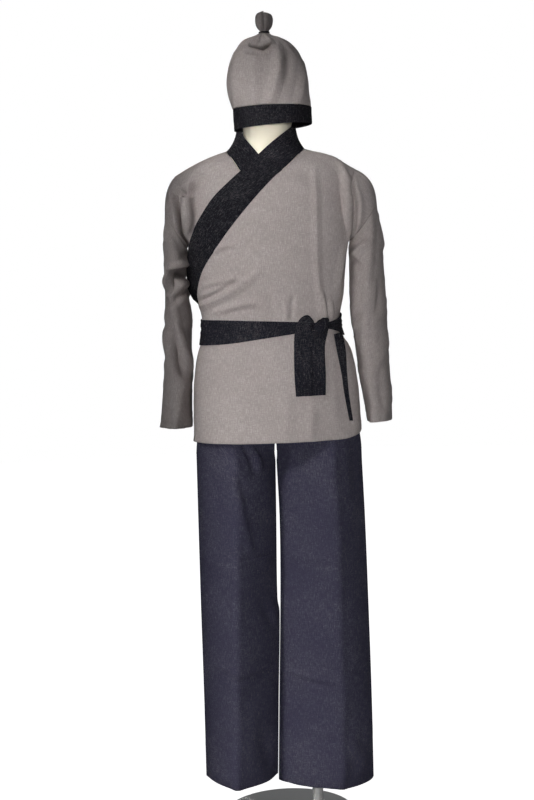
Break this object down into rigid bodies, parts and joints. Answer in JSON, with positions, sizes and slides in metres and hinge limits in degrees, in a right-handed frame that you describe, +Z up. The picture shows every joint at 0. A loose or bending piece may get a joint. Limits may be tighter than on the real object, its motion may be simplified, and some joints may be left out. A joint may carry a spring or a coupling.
{
  "type": "hanfu costume on dress form",
  "caption": "Grey cross-collar jacket with a tied dark sash, straight dark trousers and a soft cap with a tied topknot, worn by a limbless cream dress form on a pole and base plate.",
  "frame": {"origin": "middle of the underside of the stand's base plate, at the floor", "axes": "+Z up, the front of the costume faces -Y, the wearer's left side is on +X"},
  "size_m": [0.536, 0.3, 1.865],
  "materials": {
    "grey_linen": "matt slubby weave",
    "black_cotton": "matt plain weave",
    "sash_cotton": "soft matt weave",
    "navy_twill": "matt weave with pressed creases",
    "form_cover": "smooth stretched jersey",
    "form_steel": "white powder coat"
  },
  "bodies": {
    "root": {"jacket_front_left": "grey_linen", "jacket_front_right": "grey_linen", "jacket_back": "grey_linen", "jacket_sleeve_left": "grey_linen", "jacket_sleeve_right": "grey_linen", "cap_crown": "grey_linen", "cap_topknot": "grey_linen", "jacket_collar_left": "black_cotton", "jacket_collar_right": "black_cotton", "cap_band": "black_cotton", "cap_tie": "black_cotton", "sash_band": "sash_cotton", "sash_knot": "sash_cotton", "sash_tail_front": "sash_cotton", "sash_tail_middle": "sash_cotton", "sash_tail_side": "sash_cotton", "trousers_front_left": "navy_twill", "trousers_front_right": "navy_twill", "trousers_back_left": "navy_twill", "trousers_back_right": "navy_twill", "trousers_waistband": "navy_twill", "form_torso": "form_cover", "form_pole": "form_steel", "form_base": "form_steel"}
  },
  "joints": []
}
